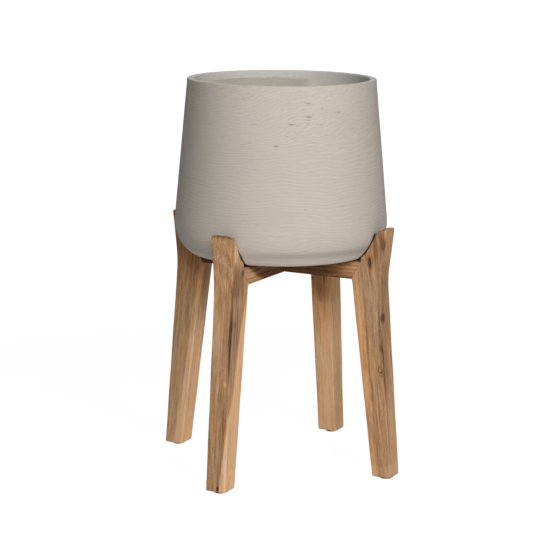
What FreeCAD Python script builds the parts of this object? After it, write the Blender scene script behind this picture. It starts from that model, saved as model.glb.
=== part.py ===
import FreeCAD, Part
import os
import Sketcher
from FreeCAD import Placement, Rotation, Vector

# Round planter on a four-legged wooden stand.
# Every length is in millimetres and every angle in degrees.
# The origin is on the floor under the pot's axis, +Z is up and the front looks along -Y.
# The pot is a tapered shell with a large rounding round its foot.
# It rests on two wooden bars that cross under it, and four bent legs rise past it.


# Driving sizes
SIZES = [
    ("rim_diameter", 334, "outside of the pot at its rim"),
    ("belly_diameter", 380, "outside of the pot where it is widest"),
    ("pot_height", 311, "from the pot's underside to its rim"),
    ("base_edge_radius", 55, "rounding between the pot's wall and its underside"),
    ("pot_wall", 12, "wall and floor of the pot"),
    ("rim_bevel", 2.5, "both edges of the rim"),
    ("drain_diameter", 24, "drain hole in the middle of the pot's floor"),
    ("plug_play", 0.6, "how much thinner the plug is than its hole"),
    ("plug_taper", 1.6, "how much thinner still the plug is at its lower end"),
    ("plug_recess", 1.5, "from the pot's underside up to the plug's lower end"),
    ("flange_diameter", 38, "plug's flange, which lies on the pot's floor"),
    ("flange_thickness", 3, "plug's flange"),
    ("stand_height", 389, "from the floor to the top of the cross bars"),
    ("timber_thickness", 38, "bars and legs, measured across their flat sides"),
    ("bar_height", 32, "cross bars, from underside to top"),
    ("lap_play", 0.3, "how much wider each notch is than the bar in it"),
    ("bar_bevel", 1.2, "long edges of the bars"),
    ("cradle_lean", 28.6, "slant of the legs' upper inner faces, from the vertical"),
    ("cradle_clearance", 1, "between those faces and the pot's rounded foot"),
    ("leg_rise", 59, "how far the legs stand up above the bars"),
    ("top_width", 16.5, "leg at its upper end"),
    ("top_fall", 3, "how much lower the inner side of the leg's top is"),
    ("top_bevel", 3, "inner edge of the leg's top"),
    ("knee_width", 54, "leg at the height of the bars' underside"),
    ("knee_bend_radius", 150, "bend in the leg's outer face"),
    ("foot_splay", 46.5, "how far the foot's inner edge stands outside the knee's"),
    ("foot_width", 36, "leg at its lower end"),
    ("leg_bevel", 2, "edges of the legs"),
    ("dowel_diameter", 8, "dowels between bar and leg"),
    ("dowel_length", 50, "dowels between bar and leg"),
    ("dowel_spacing", 16, "from the lower dowel's axis to the upper one's"),
    ("dowel_play", 0.2, "how much wider the holes are than the dowels"),
    ("dowel_end_gap", 1, "glue space past each end of a dowel"),
    ("screw_diameter", 5, "shank of the screw through the crossing"),
    ("screw_head_diameter", 10, "its countersunk head"),
    ("screw_head_height", 2.8, "its countersunk head"),
    ("screw_length", 28, "from the head's face to the point"),
    ("screw_point", 4, "tapered end of the screw"),
    ("screw_play", 0.2, "how much wider the screw's hole is"),
    ("recess_width", 1.4, "arms of the cross recess in the screw's head"),
    ("recess_span", 5.2, "cross recess, from tip to tip"),
    ("recess_depth", 1.8, "cross recess"),
    ("glide_diameter", 20, "round glide under each foot"),
    ("glide_height", 4, "round glide under each foot"),
    ("nail_head_diameter", 7, "nail that holds the glide"),
    ("nail_head_height", 1.2, "nail that holds the glide"),
    ("nail_sink", 1, "from the floor up to the nail's head"),
    ("nail_diameter", 2.4, "nail that holds the glide"),
    ("nail_length", 22, "from the head's face to the point"),
    ("nail_taper", 3, "tapered end of the nail"),
    ("nail_play", 0.2, "how much wider the nail's holes are"),
]

# Two points closer than this are the same point
NEAR = 0.001

# Legs by name, in order round the pot, and the direction in which the first one stands
LEGS = ["front_left", "front_right", "back_right", "back_left"]
FIRST_LEG_DIRECTION = -135

doc = FreeCAD.newDocument("planter_with_legs")
sheet = doc.addObject("Spreadsheet::Sheet", "Sizes")
for row, (alias, size, meaning) in enumerate(SIZES, 1):
    sheet.set("A%d" % row, alias)
    sheet.set("B%d" % row, str(size))
    sheet.set("C%d" % row, meaning)
    sheet.setAlias("B%d" % row, alias)
doc.recompute()

# Every sub-part, in the order it is made
nodes = []


# Lengths that follow from the driving sizes, as expressions
def value(expression):
    """Work out an expression of the sheet's sizes as a plain number."""
    result = sheet.evalExpression(expression)
    return float(getattr(result, "Value", result))


def minus(expression):
    """The same length on the other side of the axis."""
    return "-(%s)" % expression


# The wall's lean is the step in radius between belly and rim over the height between them
WALL_STEP = "(Sizes.belly_diameter - Sizes.rim_diameter) / 2"
WALL_LEAN = "(%s / (Sizes.pot_height - Sizes.base_edge_radius))" % WALL_STEP
# The wall's line carried down to the underside, where the rounding later takes the corner off
BASE_CORNER_REACH = "(Sizes.belly_diameter / 2 + Sizes.base_edge_radius * %s)" % WALL_LEAN
# Centre of that rounding, measured from the pot's axis
EDGE_CENTRE_REACH = "(Sizes.belly_diameter / 2 - Sizes.base_edge_radius * sqrt(1 + %s ^ 2))" % WALL_LEAN
BAR_UNDERSIDE = "(Sizes.stand_height - Sizes.bar_height)"
BAR_MIDDLE = "(Sizes.stand_height - Sizes.bar_height / 2)"
LEG_TOP = "(Sizes.stand_height + Sizes.leg_rise)"


def cradle_reach(height):
    """Distance from the axis of the legs' slanted inner face, at a height above the floor.

    The face is a plane that keeps the clearance from the pot's rounded foot.
    """
    above_centre = "(%s - Sizes.stand_height - Sizes.base_edge_radius)" % height
    offset = "(Sizes.base_edge_radius + Sizes.cradle_clearance) / cos(Sizes.cradle_lean)"
    return "(%s + %s + %s * tan(Sizes.cradle_lean))" % (EDGE_CENTRE_REACH, offset, above_centre)


KNEE_REACH = cradle_reach(BAR_UNDERSIDE)
SEAM_REACH = cradle_reach(BAR_MIDDLE)
FOOT_CENTRE_REACH = "(%s + Sizes.foot_splay + Sizes.foot_width / 2)" % KNEE_REACH
LOWER_DOWEL = "(%s - Sizes.dowel_spacing / 2)" % BAR_MIDDLE
NAIL_HEAD_TOP = "(Sizes.nail_sink + Sizes.nail_head_height)"
NAIL_POINT = "(Sizes.nail_sink + Sizes.nail_length)"


# Sketching
def new_body(name):
    """Start a sub-part whose label names its file."""
    body = doc.addObject("PartDesign::Body", name)
    body.Label = name
    nodes.append(body)
    return body


def datum(body, role):
    """Find one of the body's own origin planes or axes."""
    return [feature for feature in body.Origin.OriginFeatures if feature.Role == role][0]


def new_sketch(body, role, name, offset="0"):
    """Lay a sketch on one of the body's origin planes, or at an offset along its normal."""
    sketch = body.newObject("Sketcher::SketchObject", body.Name + "_" + name)
    sketch.AttachmentSupport = [(datum(body, role), "")]
    sketch.MapMode = "FlatFace"
    sketch.setExpression("AttachmentOffset.Base.z", offset)
    return sketch


def bind(sketch, kind, geometry, vertex, expression):
    """Hold one coordinate of a sketch's point to an expression, measured from the origin."""
    distance = value(expression)
    if abs(distance) < 1e-9:
        axis = -2 if kind == "DistanceX" else -1
        sketch.addConstraint(Sketcher.Constraint("PointOnObject", geometry, vertex, axis))
        return
    if distance > 0:
        ends = (-1, 1, geometry, vertex, distance)
    else:
        ends = (geometry, vertex, -1, 1, -distance)
        expression = minus(expression)
    number = sketch.addConstraint(Sketcher.Constraint(kind, *ends))
    sketch.setExpression("Constraints[%d]" % number, expression)


def polygon(sketch, corners):
    """Draw a closed outline through corners given as pairs of expressions."""
    points = [Vector(value(across), value(up), 0) for across, up in corners]
    first = sketch.GeometryCount
    count = len(points)
    for place in range(count):
        sketch.addGeometry(Part.LineSegment(points[place], points[(place + 1) % count]), False)
    for place in range(count):
        following = first + (place + 1) % count
        sketch.addConstraint(Sketcher.Constraint("Coincident", first + place, 2, following, 1))
    for place, (across, up) in enumerate(corners):
        bind(sketch, "DistanceX", first + place, 1, across)
        bind(sketch, "DistanceY", first + place, 1, up)


def circle(sketch, across, up, diameter):
    """Draw a circle whose centre and diameter are expressions."""
    centre = Vector(value(across), value(up), 0)
    number = sketch.addGeometry(Part.Circle(centre, Vector(0, 0, 1), value(diameter) / 2), False)
    bind(sketch, "DistanceX", number, 3, across)
    bind(sketch, "DistanceY", number, 3, up)
    limit = sketch.addConstraint(Sketcher.Constraint("Diameter", number, value(diameter)))
    sketch.setExpression("Constraints[%d]" % limit, diameter)


# Features
def add_feature(body, kind, name, sketch=None):
    """Add a feature to a body, on a sketch where it needs one."""
    feature = body.newObject("PartDesign::" + kind, body.Name + "_" + name)
    feature.Refine = True
    if sketch is not None:
        feature.Profile = sketch
        sketch.Visibility = False
    return feature


def turned(body, kind, name, corners):
    """Turn an outline in the XZ plane once round the body's own Z axis."""
    sketch = new_sketch(body, "XZ_Plane", name + "_outline")
    polygon(sketch, corners)
    feature = add_feature(body, kind, name, sketch)
    feature.ReferenceAxis = (sketch, ["V_Axis"])
    feature.Angle = 360
    doc.recompute()
    return feature


def sawn(body, kind, name, corners, thickness="Sizes.timber_thickness"):
    """Pad or pocket an outline in the XZ plane, half of its thickness to each side."""
    sketch = new_sketch(body, "XZ_Plane", name + "_outline")
    polygon(sketch, corners)
    feature = add_feature(body, kind, name, sketch)
    feature.SideType = "Symmetric"
    feature.setExpression("Length", thickness)
    doc.recompute()
    return feature


def sunk(body, name, sketch, depth):
    """Sink a sketch's outlines into the body, to a depth along the sketch's normal."""
    feature = add_feature(body, "Pocket", name, sketch)
    feature.Reversed = True
    feature.setExpression("Length", depth)
    doc.recompute()
    return feature


def edges_where(feature, wanted):
    """List the names of a feature's edges that a test picks."""
    edges = feature.Shape.Edges
    return ["Edge%d" % number for number, edge in enumerate(edges, 1) if wanted(edge)]


def middle(edge):
    """Point half way along an edge."""
    return edge.valueAt((edge.FirstParameter + edge.LastParameter) / 2)


def soften(body, name, wanted, radius):
    """Round the edges that a test picks from the body's latest shape."""
    latest = body.Tip
    names = edges_where(latest, wanted)
    feature = add_feature(body, "Fillet", name)
    feature.Base = (latest, names)
    feature.setExpression("Radius", radius)
    doc.recompute()
    return feature


def bevel(body, name, wanted, width):
    """Cut a flat bevel along the edges that a test picks from the body's latest shape."""
    latest = body.Tip
    names = edges_where(latest, wanted)
    feature = add_feature(body, "Chamfer", name)
    feature.Base = (latest, names)
    feature.setExpression("Size", width)
    doc.recompute()
    return feature


def stand_at(body, direction=0, reach="0", height="0"):
    """Put a body at a distance from the axis, turned to face a direction."""
    body.Placement = Placement(Vector(0, 0, 0), Rotation(Vector(0, 0, 1), direction))
    body.setExpression("Placement.Base.x", "(%s) * cos(%d)" % (reach, direction))
    body.setExpression("Placement.Base.y", "(%s) * sin(%d)" % (reach, direction))
    body.setExpression("Placement.Base.z", height)


# Pot
def make_pot():
    """Tapered round shell, turned as a solid and hollowed from the top."""
    pot = new_body("pot")
    turned(pot, "Revolution", "blank", [
        ("0", "0"),
        (BASE_CORNER_REACH, "0"),
        ("Sizes.rim_diameter / 2", "Sizes.pot_height"),
        ("0", "Sizes.pot_height"),
    ])
    soften(pot, "base_edge", lambda edge: edge.Closed and edge.BoundBox.ZMax < NEAR,
           "Sizes.base_edge_radius")
    blank = pot.Tip
    faces = blank.Shape.Faces
    highest = max(range(len(faces)), key=lambda number: faces[number].CenterOfMass.z)
    shell = add_feature(pot, "Thickness", "shell")
    shell.Base = (blank, ["Face%d" % (highest + 1)])
    shell.Reversed = True
    shell.setExpression("Value", "Sizes.pot_wall")
    doc.recompute()
    rim = value("Sizes.pot_height") - NEAR
    bevel(pot, "rim", lambda edge: edge.Closed and edge.BoundBox.ZMin > rim, "Sizes.rim_bevel")
    outline = new_sketch(pot, "XY_Plane", "drain_circle")
    circle(outline, "0", "0", "Sizes.drain_diameter")
    sunk(pot, "drain", outline, "2 * Sizes.pot_wall")
    stand_at(pot, height="Sizes.stand_height")


def make_drain_plug():
    """Rubber plug, pushed into the drain hole from inside the pot."""
    plug = new_body("drain_plug")
    neck = "((Sizes.drain_diameter - Sizes.plug_play) / 2)"
    tip = "(%s - Sizes.plug_taper / 2)" % neck
    flange = "(Sizes.flange_diameter / 2)"
    top = "(Sizes.pot_wall + Sizes.flange_thickness)"
    turned(plug, "Revolution", "turned", [
        ("0", "Sizes.plug_recess"),
        (tip, "Sizes.plug_recess"),
        (neck, "Sizes.pot_wall"),
        (flange, "Sizes.pot_wall"),
        (flange, top),
        ("0", top),
    ])
    stand_at(plug, height="Sizes.stand_height")


# Cross bars
def make_bar(name, direction, notch_end):
    """Bar with slanted ends, a notch for the other bar, and holes for dowels and screw."""
    bar = new_body(name)
    upper = cradle_reach("Sizes.stand_height")
    sawn(bar, "Pad", "blank", [
        (minus(KNEE_REACH), BAR_UNDERSIDE),
        (KNEE_REACH, BAR_UNDERSIDE),
        (upper, "Sizes.stand_height"),
        (minus(upper), "Sizes.stand_height"),
    ])
    bevel(bar, "long_edges", runs_along_bar, "Sizes.bar_bevel")
    half_notch = "((Sizes.timber_thickness + Sizes.lap_play) / 2)"
    sawn(bar, "Pocket", "notch", [
        (minus(half_notch), BAR_MIDDLE),
        (half_notch, BAR_MIDDLE),
        (half_notch, notch_end),
        (minus(half_notch), notch_end),
    ], "2 * Sizes.timber_thickness")
    turned(bar, "Groove", "screw_hole", screw_outline("Sizes.screw_play"))
    inner_end = "(%s - Sizes.dowel_length / 2 - Sizes.dowel_end_gap)" % SEAM_REACH
    outline = dowel_circles(bar, inner_end, "Sizes.dowel_play")
    holes = sunk(bar, "dowel_holes", outline, "Sizes.dowel_length")
    mirrored = add_feature(bar, "Mirrored", "far_dowel_holes")
    mirrored.Originals = [holes]
    mirrored.MirrorPlane = (datum(bar, "YZ_Plane"), [""])
    bar.Tip = mirrored
    stand_at(bar, direction)


def runs_along_bar(edge):
    """Pick an edge that follows the length of a bar."""
    return abs(edge.tangentAt(edge.FirstParameter).x) > 1 - NEAR


def dowel_circles(body, offset, play):
    """Two dowels seen along the bar, one above the other, or their holes where there is play."""
    sketch = new_sketch(body, "YZ_Plane", "dowel_circles", offset)
    width = "(Sizes.dowel_diameter + %s)" % play
    circle(sketch, "0", LOWER_DOWEL, width)
    circle(sketch, "0", "(%s + Sizes.dowel_spacing)" % LOWER_DOWEL, width)
    return sketch


# Legs
def make_leg(place, direction):
    """Bent leg, sawn from a plank: it widens up to the knee and narrows past the pot."""
    leg = new_body(place + "_leg")
    inner_foot = "(%s + Sizes.foot_splay)" % KNEE_REACH
    inner_top_height = "(%s - Sizes.top_fall)" % LEG_TOP
    inner_top = cradle_reach(inner_top_height)
    outer_top = "(%s + Sizes.top_width)" % inner_top
    outer_knee = "(%s + Sizes.knee_width)" % KNEE_REACH
    sawn(leg, "Pad", "blank", [
        (inner_foot, "Sizes.glide_height"),
        ("(%s + Sizes.foot_width)" % inner_foot, "Sizes.glide_height"),
        (outer_knee, BAR_UNDERSIDE),
        (outer_top, LEG_TOP),
        (inner_top, inner_top_height),
        (KNEE_REACH, BAR_UNDERSIDE),
    ])
    soften(leg, "knee_bend", crosses_timber_at(outer_knee, BAR_UNDERSIDE), "Sizes.knee_bend_radius")
    flat_side = value("Sizes.timber_thickness / 2") - NEAR
    foot = value("Sizes.glide_height") + NEAR
    at_outer_top = crosses_timber_at(outer_top, LEG_TOP)
    bevel(leg, "edges",
          lambda edge: abs(middle(edge).y) > flat_side or middle(edge).z < foot or at_outer_top(edge),
          "Sizes.leg_bevel")
    bevel(leg, "top_edge", crosses_timber_at(inner_top, inner_top_height), "Sizes.top_bevel")
    # The joint stays square: the edges were cut round the glued bar, not under it
    upper = cradle_reach("Sizes.stand_height")
    sawn(leg, "Pad", "joint_land", [
        (KNEE_REACH, BAR_UNDERSIDE),
        ("(%s + 2 * Sizes.leg_bevel)" % KNEE_REACH, BAR_UNDERSIDE),
        ("(%s + 2 * Sizes.leg_bevel)" % upper, "Sizes.stand_height"),
        (upper, "Sizes.stand_height"),
    ])
    inside = "(%s - Sizes.dowel_length / 2)" % SEAM_REACH
    outline = dowel_circles(leg, inside, "Sizes.dowel_play")
    sunk(leg, "dowel_holes", outline, "Sizes.dowel_length + Sizes.dowel_end_gap")
    hole = new_sketch(leg, "XY_Plane", "nail_circle")
    circle(hole, FOOT_CENTRE_REACH, "0", "Sizes.nail_diameter + Sizes.nail_play")
    sunk(leg, "nail_hole", hole, NAIL_POINT)
    stand_at(leg, direction)


def crosses_timber_at(reach, height):
    """Pick the edge that runs across the timber at one corner of its outline."""
    corner = Vector(value(reach), 0, value(height))
    return lambda edge: middle(edge).distanceToPoint(corner) < NEAR


# Fasteners and glides
def make_dowels(place, direction):
    """Two hardwood dowels, half in the bar and half in the leg."""
    dowels = new_body(place + "_dowels")
    dowels.AllowCompound = True
    inside = "(%s - Sizes.dowel_length / 2)" % SEAM_REACH
    pair = add_feature(dowels, "Pad", "pair", dowel_circles(dowels, inside, "0"))
    pair.setExpression("Length", "Sizes.dowel_length")
    doc.recompute()
    stand_at(dowels, direction)


def screw_outline(play):
    """Half outline of the countersunk screw, or of its hole where there is play."""
    head = "((Sizes.screw_head_diameter + %s) / 2)" % play
    shank = "((Sizes.screw_diameter + %s) / 2)" % play
    point = "(%s + Sizes.screw_length + %s)" % (BAR_UNDERSIDE, play)
    return [
        ("0", BAR_UNDERSIDE),
        (head, BAR_UNDERSIDE),
        (shank, "(%s + Sizes.screw_head_height)" % BAR_UNDERSIDE),
        (shank, "(%s - Sizes.screw_point)" % point),
        ("%s / 4" % shank, point),
        ("0", point),
    ]


def make_centre_screw():
    """Screw driven from below through the crossing of the bars."""
    screw = new_body("centre_screw")
    turned(screw, "Revolution", "turned", screw_outline("0"))
    arm = "(Sizes.recess_width / 2)"
    reach = "(Sizes.recess_span / 2)"
    cross = new_sketch(screw, "XY_Plane", "recess_outline")
    polygon(cross, [
        (arm, arm), (arm, reach), (minus(arm), reach),
        (minus(arm), arm), (minus(reach), arm), (minus(reach), minus(arm)),
        (minus(arm), minus(arm)), (minus(arm), minus(reach)), (arm, minus(reach)),
        (arm, minus(arm)), (reach, minus(arm)), (reach, arm),
    ])
    sunk(screw, "recess", cross, "%s + Sizes.recess_depth" % BAR_UNDERSIDE)


def make_glide(place, direction):
    """Round plastic glide with a sunk seat for the nail's head."""
    glide = new_body(place + "_glide")
    seat = "((Sizes.nail_head_diameter + Sizes.nail_play) / 2)"
    bore = "((Sizes.nail_diameter + Sizes.nail_play) / 2)"
    outer = "(Sizes.glide_diameter / 2)"
    turned(glide, "Revolution", "turned", [
        (seat, "0"),
        (outer, "0"),
        (outer, "Sizes.glide_height"),
        (bore, "Sizes.glide_height"),
        (bore, NAIL_HEAD_TOP),
        (seat, NAIL_HEAD_TOP),
    ])
    stand_at(glide, direction, FOOT_CENTRE_REACH)


def make_glide_nail(place, direction):
    """Nail that holds the glide to the leg's end grain."""
    nail = new_body(place + "_glide_nail")
    head = "(Sizes.nail_head_diameter / 2)"
    shank = "(Sizes.nail_diameter / 2)"
    turned(nail, "Revolution", "turned", [
        ("0", "Sizes.nail_sink"),
        (head, "Sizes.nail_sink"),
        (head, NAIL_HEAD_TOP),
        (shank, NAIL_HEAD_TOP),
        (shank, "(%s - Sizes.nail_taper)" % NAIL_POINT),
        ("0", NAIL_POINT),
    ])
    stand_at(nail, direction, FOOT_CENTRE_REACH)


make_pot()
make_drain_plug()
make_bar("lower_cross_bar", 45, "(Sizes.stand_height + Sizes.bar_height)")
make_bar("upper_cross_bar", -45, "(%s - Sizes.bar_height)" % BAR_UNDERSIDE)
make_centre_screw()
for number, place in enumerate(LEGS):
    direction = FIRST_LEG_DIRECTION + 360 / len(LEGS) * number
    make_leg(place, direction)
    make_dowels(place, direction)
    make_glide(place, direction)
    make_glide_nail(place, direction)
doc.recompute()


# Checks before anything is written
for thing in doc.Objects:
    if {"Invalid", "Error"} & set(thing.State):
        raise RuntimeError("%s failed: %s" % (thing.Name, thing.State))
for node in nodes:
    if node.Shape.isNull() or not node.Shape.isValid() or not node.Shape.Solids:
        raise RuntimeError("%s has no valid shape" % node.Label)

os.makedirs("parts", exist_ok=True)
for node in nodes:
    node.Shape.exportStep("parts/%s.step" % node.Label)
    print("%-26s %d solid(s) %9.0f mm3" % (node.Label, len(node.Shape.Solids), node.Shape.Volume))
widest = Part.makeCompound([node.Shape for node in nodes]).BoundBox
print("overall %.1f x %.1f x %.1f mm" % (widest.XLength, widest.YLength, widest.ZLength))
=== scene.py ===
# %% [markdown]
# # A planter with legs
# A tapered fibre-clay pot rests in a wooden stand. Two bars cross under it, and four bent legs
# rise past its rounded foot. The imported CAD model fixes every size. This notebook gives each
# piece its surface and its finish, one cell at a time, and works in the model's own frame.

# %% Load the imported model
import math

import bpy
import numpy as np
from mathutils import Matrix


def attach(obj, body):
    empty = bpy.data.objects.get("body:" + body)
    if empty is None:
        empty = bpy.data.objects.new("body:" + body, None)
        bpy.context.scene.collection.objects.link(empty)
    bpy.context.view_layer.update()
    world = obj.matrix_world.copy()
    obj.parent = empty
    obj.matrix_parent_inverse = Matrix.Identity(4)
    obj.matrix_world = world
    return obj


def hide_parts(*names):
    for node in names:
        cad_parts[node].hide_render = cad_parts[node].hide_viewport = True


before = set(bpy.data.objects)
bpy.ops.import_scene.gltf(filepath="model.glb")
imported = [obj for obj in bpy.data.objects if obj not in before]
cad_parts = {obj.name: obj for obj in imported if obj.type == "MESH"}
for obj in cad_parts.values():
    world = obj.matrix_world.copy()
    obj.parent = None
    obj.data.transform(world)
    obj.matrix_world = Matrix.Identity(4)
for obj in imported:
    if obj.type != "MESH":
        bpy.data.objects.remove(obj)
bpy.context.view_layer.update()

# %% [markdown]
# ## The camera
# The planter was seen from about three metres away and a little above its rim, through a long
# lens, so its sides look nearly parallel. A camera can be aimed with a Track To constraint, but
# a matrix built from its right, up and forward directions holds the small roll as well.

# %% Place the camera
MM = 0.001
CAMERA_AZIMUTH = math.radians(-16.986)
CAMERA_PITCH = math.radians(11.614)
CAMERA_ROLL = math.radians(0.466)
CAMERA_DISTANCE, CAMERA_HEIGHT, CAMERA_SIDE = 3089.9, 971.6, 0.483
LENS, SENSOR = 112.55, 36


def camera_matrix():
    """Right, up and backward directions as columns, then the place of the lens, in metres."""
    side = np.array([math.cos(CAMERA_AZIMUTH), math.sin(CAMERA_AZIMUTH), 0])
    out = np.array([math.sin(CAMERA_AZIMUTH), -math.cos(CAMERA_AZIMUTH), 0])
    up = np.array([0, 0, 1])
    level_up = math.cos(CAMERA_PITCH) * up - math.sin(CAMERA_PITCH) * out
    backward = math.cos(CAMERA_PITCH) * out + math.sin(CAMERA_PITCH) * up
    right = side * math.cos(CAMERA_ROLL) + level_up * math.sin(CAMERA_ROLL)
    upward = level_up * math.cos(CAMERA_ROLL) - side * math.sin(CAMERA_ROLL)
    place = (-CAMERA_SIDE * side + CAMERA_DISTANCE * out + CAMERA_HEIGHT * up) * MM
    matrix = np.eye(4)
    matrix[:3, :] = np.stack([right, upward, backward, place], axis=1)
    return Matrix(matrix.tolist())


lens = bpy.data.cameras.new("camera")
lens.lens = LENS
lens.sensor_width = SENSOR
lens.clip_end = 100
camera = bpy.data.objects.new("camera", lens)
camera.matrix_world = camera_matrix()
bpy.context.scene.collection.objects.link(camera)
bpy.context.scene.camera = camera
bpy.context.scene.view_settings.view_transform = "Standard"
print("camera at", [round(value, 3) for value in camera.location])

# %% [markdown]
# ## Arithmetic for finishes
# A finish is a tree of shader nodes. Adding them by hand hides what they work out, so a small
# class wraps a socket and lets Python's own signs add the Math nodes. Any other node comes from
# one method, which takes its type, its settings, and what goes into its sockets.


# %% Let sockets be added and multiplied
class Field:
    """A socket of a shader tree. Arithmetic on it adds Math nodes and gives a new field."""

    def __init__(self, shader, socket):
        self.shader = shader
        self.socket = socket

    def math(self, operation, *values):
        return self.shader.node("Math", {"operation": operation}, dict(enumerate(values)))

    def __add__(self, other):
        return self.math("ADD", self, other)

    def __sub__(self, other):
        return self.math("SUBTRACT", self, other)

    def __rsub__(self, other):
        return self.math("SUBTRACT", other, self)

    def __mul__(self, other):
        return self.math("MULTIPLY", self, other)

    def __truediv__(self, other):
        return self.math("DIVIDE", self, other)

    def __pow__(self, other):
        return self.math("POWER", self, other)

    __radd__ = __add__
    __rmul__ = __mul__

    def sine(self):
        return self.math("SINE", self)

    def exponential(self):
        return self.math("EXPONENT", self)

    def larger(self, other):
        return self.math("MAXIMUM", self, other)

    def rise(self, low, high):
        """0 below low, 1 above high and a smooth rise between; with low above high it falls."""
        return self.shader.node(
            "MapRange", {"interpolation_type": "SMOOTHSTEP"}, {0: self, 1: low, 2: high})


# %% Add any node to a tree
class Shader:
    """A node tree, with one method that adds any node to it and others for the common ones."""

    def __init__(self, tree):
        self.tree = tree
        tree.nodes.clear()

    def node(self, kind, settings=None, sockets=None, output=0):
        """Adds a node, sets it up, fills or links its sockets and gives one of its outputs."""
        added = self.tree.nodes.new("ShaderNode" + kind)
        settings = dict(settings or {})
        stops = settings.pop("stops", ())
        for name, value in settings.items():
            setattr(added, name, value)
        for number, (position, colour) in enumerate(stops):
            if number >= len(added.color_ramp.elements):
                added.color_ramp.elements.new(position)
            added.color_ramp.elements[number].position = position
            added.color_ramp.elements[number].color = (*colour, 1)
        for name, value in (sockets or {}).items():
            if isinstance(value, Field):
                self.tree.links.new(value.socket, added.inputs[name])
            elif hasattr(added.inputs[name].default_value, "__len__") and len(value) == 3:
                size = len(added.inputs[name].default_value)
                added.inputs[name].default_value = (*value, 1)[:size]
            else:
                added.inputs[name].default_value = value
        return Field(self, added.outputs[output]) if len(added.outputs) else None

    def vector(self, operation, *vectors):
        """Vector arithmetic; LENGTH and DOT_PRODUCT give a number, the others a vector."""
        sockets = dict(enumerate(vectors))
        number = operation in ("LENGTH", "DOT_PRODUCT")
        return self.node("VectorMath", {"operation": operation}, sockets, int(number))

    def mix(self, part, first, second, blend="MIX"):
        """Blends two colours by a part from 0 to 1."""
        settings = {"data_type": "RGBA", "blend_type": blend}
        return self.node("Mix", settings, {0: part, 6: first, 7: second}, 2)

    def local(self, centre=(0, 0, 0), turn=(0, 0, 0), size=(1, 1, 1)):
        """Places measured from a centre, along axes turned by degrees, in sizes, all in mm."""
        spot = self.node("TexCoord", output="Object")
        return self.node("Mapping", {"vector_type": "TEXTURE"}, {
            0: spot, 1: tuple(value * MM for value in centre),
            2: tuple(math.radians(value) for value in turn),
            3: tuple(value * MM for value in size)})

    def noise(self, place, size, detail=2.0, roughness=0.5):
        """Smooth chance from 0 to 1, whose lumps have the given size along each axis."""
        scaled = self.vector("MULTIPLY", place, tuple(1 / value for value in size))
        return self.node("TexNoise", {}, {
            "Vector": scaled, "Scale": 1, "Detail": detail, "Roughness": roughness})


# %% Make a finish
def finish(name, make, fixed=None):
    """Makes a material: make(shader) gives a height in mm for the bump and what varies.

    Fixed holds what is the same all over, and is set on the shader's own sockets.
    """
    material = bpy.data.materials.new(name)
    material.use_nodes = True
    shader = Shader(material.node_tree)
    height, varied = make(shader)
    varied["Normal"] = shader.node("Bump", {}, {"Height": height, "Distance": MM, "Strength": 1})
    surface = shader.node("BsdfPrincipled", {}, {**(fixed or {}), **varied})
    shader.node("OutputMaterial", {}, {"Surface": surface})
    return material


# %% [markdown]
# ## Floor, world and lamps
# A pale floor catches a soft shadow. Where the camera looks straight at it, it is mostly plain
# white near the planter and wholly so further off, so that the backdrop is white without more
# light on the planter. Two softboxes stand beside the camera, above the rim, because a single
# lamp in the middle would leave the back legs in the shade of the front ones. A weak lamp
# behind and a dim even sky are for the views from the back.

# %% Lay the floor
FLOOR_COLOUR, FLOOR_WHITE, FLOOR_GLOW = (0.78, 0.80, 0.815), 0.88, 1.10
# In metres: where the floor starts to be all white, where it is so, and where it ends.
FLOOR_NEAR, FLOOR_FAR, FLOOR_REACH = 0.9, 2.4, 40


def seen_straight(shader):
    """1 where the eye, a mirror image or a view through glass meets the backdrop."""
    eye = shader.node("LightPath", output="Is Camera Ray")
    mirrored = shader.node("LightPath", output="Is Glossy Ray")
    through = shader.node("LightPath", output="Is Transmission Ray")
    return eye.larger(mirrored).larger(through)


white = bpy.data.materials.new("floor")
white.use_nodes = True
shader = Shader(white.node_tree)
matt = shader.node("BsdfDiffuse", {}, {"Color": FLOOR_COLOUR})
plain = shader.node("Emission", {}, {"Color": (1, 1, 1), "Strength": FLOOR_GLOW})
away = shader.vector("LENGTH", shader.node("TexCoord", output="Object"))
away = away.rise(FLOOR_NEAR, FLOOR_FAR)
part = seen_straight(shader) * (away * (1 - FLOOR_WHITE) + FLOOR_WHITE)
mixed = shader.node("MixShader", {}, {0: part, 1: matt, 2: plain})
shader.node("OutputMaterial", {}, {"Surface": mixed})

slab = bpy.data.meshes.new("floor")
corners = [(-FLOOR_REACH, -FLOOR_REACH, 0), (FLOOR_REACH, -FLOOR_REACH, 0),
           (FLOOR_REACH, FLOOR_REACH, 0), (-FLOOR_REACH, FLOOR_REACH, 0)]
slab.from_pydata(corners, [], [(0, 1, 2, 3)])
slab.materials.append(white)
floor = bpy.data.objects.new("floor", slab)
bpy.context.scene.collection.objects.link(floor)
print("floor reaches", FLOOR_REACH, "m each way")

# %% Make the sky and hang the lamps
SKY, SKY_COLOUR = 0.02, (0.92, 0.97, 1.0)
# Each lamp has an azimuth and an elevation in degrees, a power in watts and a colour.
LAMPS = {"left_lamp": (-18, 26, 41.3, (0.99, 1.0, 1.0)),
         "right_lamp": (10, 26, 42.3, (1.0, 0.965, 0.93)),
         "back_lamp": (165, 34, 13, (0.98, 0.99, 1.0))}
LAMP_DISTANCE, LAMP_SIZE, AIM_HEIGHT = 3.2, 0.75, 0.4

world = bpy.data.worlds.new("sky")
bpy.context.scene.world = world
world.use_nodes = True
shader = Shader(world.node_tree)
seen = seen_straight(shader)
colour = shader.mix(seen, SKY_COLOUR, (1, 1, 1))
sky = shader.node("Background", {}, {"Color": colour, "Strength": seen * (1 - SKY) + SKY})
shader.node("OutputWorld", {}, {"Surface": sky})

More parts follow.
